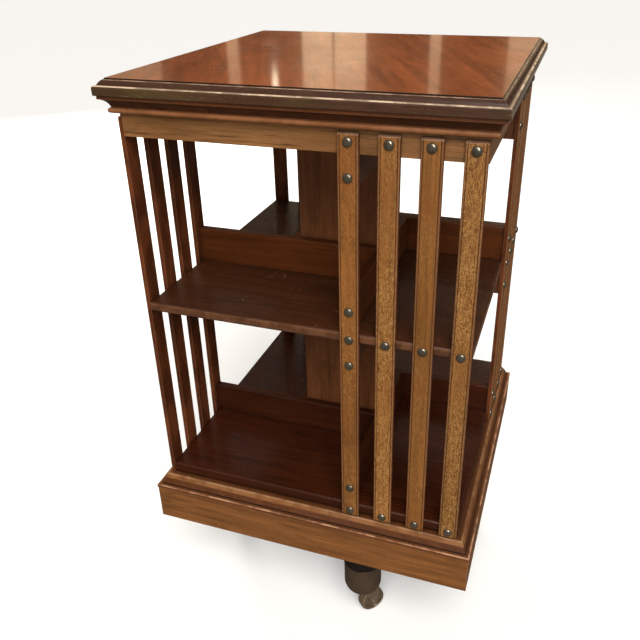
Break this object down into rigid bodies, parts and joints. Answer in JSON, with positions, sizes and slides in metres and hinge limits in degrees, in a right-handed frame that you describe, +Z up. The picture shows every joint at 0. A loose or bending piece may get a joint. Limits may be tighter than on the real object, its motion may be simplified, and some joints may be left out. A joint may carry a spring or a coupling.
{
  "type": "revolving bookcase",
  "caption": "Square slatted case for books on two tiers that turns on a central spindle over a cross foot on swivel castors.",
  "frame": {"origin": "on the floor, on the axis of the spindle, under the middle of the case", "axes": "+Z up along the spindle; -Y is the front face, whose slats stand on its +X half; +X is the face to the right of the front"},
  "size_m": [0.4816, 0.4816, 0.8228],
  "materials": {
    "polished_top": "polished reddish brown",
    "dark_moulding": "dark polished, worn arrises",
    "red_wood": "polished dark red brown",
    "pale_wood": "polished golden brown",
    "dark_wood": "dull dark brown",
    "black_wood": "black stain",
    "raw_wood": "unfinished",
    "bronze": "dark patina",
    "bush_brass": "turned",
    "iron": "black",
    "steel": "turned"
  },
  "bodies": {
    "foot": {"cross_bar_lower": "black_wood", "cross_bar_upper": "black_wood", "spindle_socket": "iron", "socket_pin": "steel", "socket_screws": "steel", "spindle": "steel", "thrust_washer": "bush_brass", "castor_cups": "bronze"},
    "case": {"top_panel": "polished_top", "top_edge_moulding": "dark_moulding", "cornice_moulding": "red_wood", "frieze_rails": "pale_wood", "top_blocks": "raw_wood", "slat_front_1": "pale_wood", "slat_right_1": "pale_wood", "slat_back_1": "pale_wood", "slat_left_1": "pale_wood", "slat_front_2": "pale_wood", "slat_right_2": "pale_wood", "slat_back_2": "pale_wood", "slat_left_2": "pale_wood", "slat_front_3": "pale_wood", "slat_right_3": "pale_wood", "slat_back_3": "pale_wood", "slat_left_3": "pale_wood", "slat_front_4": "pale_wood", "slat_right_4": "pale_wood", "slat_back_4": "pale_wood", "slat_left_4": "pale_wood", "slat_studs": "bronze", "column_board_front": "dark_wood", "column_board_right": "dark_wood", "column_board_back": "dark_wood", "column_board_left": "dark_wood", "mid_shelf": "red_wood", "base_board": "red_wood", "upper_stop_front": "red_wood", "upper_stop_right": "red_wood", "upper_stop_back": "red_wood", "upper_stop_left": "red_wood", "lower_stop_front": "red_wood", "lower_stop_right": "red_wood", "lower_stop_back": "red_wood", "lower_stop_left": "red_wood", "top_rails": "dark_wood", "shelf_rails": "dark_wood", "plinth_boards": "pale_wood", "plinth_moulding": "pale_wood", "plinth_blocks": "raw_wood", "lower_bush": "bush_brass", "top_bearing_block": "raw_wood", "top_bush": "bush_brass"},
    "castor_fork_1": {"castor_fork_1": "bronze"},
    "castor_wheel_1": {"castor_wheel_1": "bronze"},
    "castor_fork_2": {"castor_fork_2": "bronze"},
    "castor_wheel_2": {"castor_wheel_2": "bronze"},
    "castor_fork_3": {"castor_fork_3": "bronze"},
    "castor_wheel_3": {"castor_wheel_3": "bronze"},
    "castor_fork_4": {"castor_fork_4": "bronze"},
    "castor_wheel_4": {"castor_wheel_4": "bronze"}
  },
  "joints": [
    {"name": "case_spin", "type": "hinge", "parent": "foot", "child": "case", "pos_m": [0, 0, 0.2265], "axis": [0, 0, 1], "continuous": true},
    {"name": "castor_swivel_1", "type": "hinge", "parent": "foot", "child": "castor_fork_1", "pos_m": [0.07724, -0.19313, 0.053], "axis": [0, 0, 1], "continuous": true},
    {"name": "castor_roll_1", "type": "hinge", "parent": "castor_fork_1", "child": "castor_wheel_1", "pos_m": [0.08766, -0.18233, 0.02], "axis": [-0.7193, 0.6947, 0], "continuous": true},
    {"name": "castor_swivel_2", "type": "hinge", "parent": "foot", "child": "castor_fork_2", "pos_m": [0.19313, 0.07724, 0.053], "axis": [0, 0, 1], "continuous": true},
    {"name": "castor_roll_2", "type": "hinge", "parent": "castor_fork_2", "child": "castor_wheel_2", "pos_m": [0.17831, 0.07959, 0.02], "axis": [-0.1564, -0.9877, 0], "continuous": true},
    {"name": "castor_swivel_3", "type": "hinge", "parent": "foot", "child": "castor_fork_3", "pos_m": [-0.07724, 0.19313, 0.053], "axis": [0, 0, 1], "continuous": true},
    {"name": "castor_roll_3", "type": "hinge", "parent": "castor_fork_3", "child": "castor_wheel_3", "pos_m": [-0.08563, 0.18069, 0.02], "axis": [0.829, -0.5592, 0], "continuous": true},
    {"name": "castor_swivel_4", "type": "hinge", "parent": "foot", "child": "castor_fork_4", "pos_m": [-0.19313, -0.07724, 0.053], "axis": [0, 0, 1], "continuous": true},
    {"name": "castor_roll_4", "type": "hinge", "parent": "castor_fork_4", "child": "castor_wheel_4", "pos_m": [-0.20017, -0.064, 0.02], "axis": [-0.8829, -0.4695, 0], "continuous": true}
  ]
}
